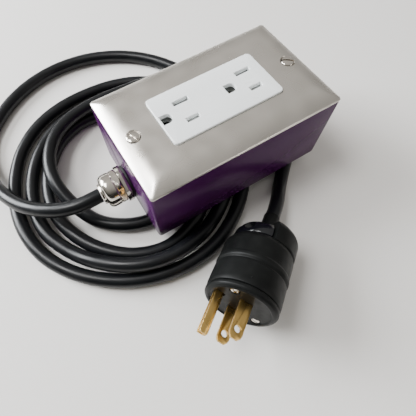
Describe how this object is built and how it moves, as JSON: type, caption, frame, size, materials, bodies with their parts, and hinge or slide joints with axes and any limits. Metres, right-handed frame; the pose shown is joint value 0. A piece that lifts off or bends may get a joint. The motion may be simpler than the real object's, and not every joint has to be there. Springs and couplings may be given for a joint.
{
  "type": "portable outlet box with corded plug",
  "caption": "Shallow steel box with a duplex receptacle under a bevelled metal plate, fed through a cable gland by a long coiled cord that ends in a three-prong plug.",
  "frame": {"origin": "centre of the outlet box, without its cable gland, cord and plug", "axes": "+X along the box, away from the cable gland; +Y towards the receptacle's neutral side, away from the plug; +Z out of the receptacle's face"},
  "size_m": [0.2063, 0.2442, 0.0605],
  "materials": {
    "purple_paint": "gloss",
    "brushed_stainless": "brushed",
    "white_plastic": "satin",
    "shutter_plastic": "satin",
    "black_plastic": "matt",
    "nickel_plate": "polished",
    "zinc_plate": "satin",
    "brass": "satin",
    "spring_steel": "satin",
    "cord_jacket": "semi-gloss",
    "black_rubber": "matt",
    "plug_rubber": "matt",
    "gloss_black_nylon": "gloss",
    "green_screw": "satin",
    "black_wire": "satin",
    "white_wire": "satin",
    "green_wire": "satin"
  },
  "bodies": {
    "box": {"housing": "purple_paint", "cover_plate": "brushed_stainless", "plate_screw_1": "nickel_plate", "plate_screw_2": "nickel_plate", "mounting_yoke": "zinc_plate", "device_screw_1": "nickel_plate", "device_screw_2": "nickel_plate", "receptacle_face": "white_plastic", "shutter_spring_1": "spring_steel", "shutter_spring_2": "spring_steel", "shutter_guide": "shutter_plastic", "receptacle_body": "black_plastic", "hot_terminal_screw": "brass", "neutral_terminal_screw": "nickel_plate", "ground_terminal_screw": "green_screw", "hot_bus": "brass", "neutral_bus": "brass", "ground_bus": "brass", "gland_washer": "black_rubber", "gland_body": "nickel_plate", "gland_locknut": "nickel_plate", "gland_seal": "black_rubber", "power_cord": "cord_jacket", "cord_entry": "cord_jacket", "hot_wire": "black_wire", "neutral_wire": "white_wire", "ground_wire": "green_wire", "plug_face": "plug_rubber", "plug_face_screw_1": "nickel_plate", "plug_face_screw_2": "nickel_plate", "plug_face_screw_3": "nickel_plate", "plug_body": "plug_rubber", "plug_cord_clamp": "gloss_black_nylon", "clamp_screw_1": "nickel_plate", "clamp_screw_2": "nickel_plate", "hot_blade": "brass", "neutral_blade": "brass", "ground_pin": "brass", "cord_plug_end": "cord_jacket", "plug_hot_wire": "black_wire", "plug_neutral_wire": "white_wire", "plug_ground_wire": "green_wire"},
    "shutter_1": {"shutter_1": "shutter_plastic"},
    "shutter_2": {"shutter_2": "shutter_plastic"},
    "gland_nut": {"gland_nut": "nickel_plate"}
  },
  "joints": [
    {"name": "shutter_1_slide", "type": "slide", "parent": "box", "child": "shutter_1", "axis": [0, 1, 0], "range_m": [0, 0.0034], "stiffness_N_per_m": 60, "deforming": ["shutter_spring_1"]},
    {"name": "shutter_2_slide", "type": "slide", "parent": "box", "child": "shutter_2", "axis": [0, 1, 0], "range_m": [0, 0.0034], "stiffness_N_per_m": 60, "deforming": ["shutter_spring_2"]},
    {"name": "gland_nut_turn", "type": "hinge", "parent": "box", "child": "gland_nut", "pos_m": [-0.07, 0, -0.01025], "axis": [1, 0, 0], "range_deg": [0, 360]}
  ]
}
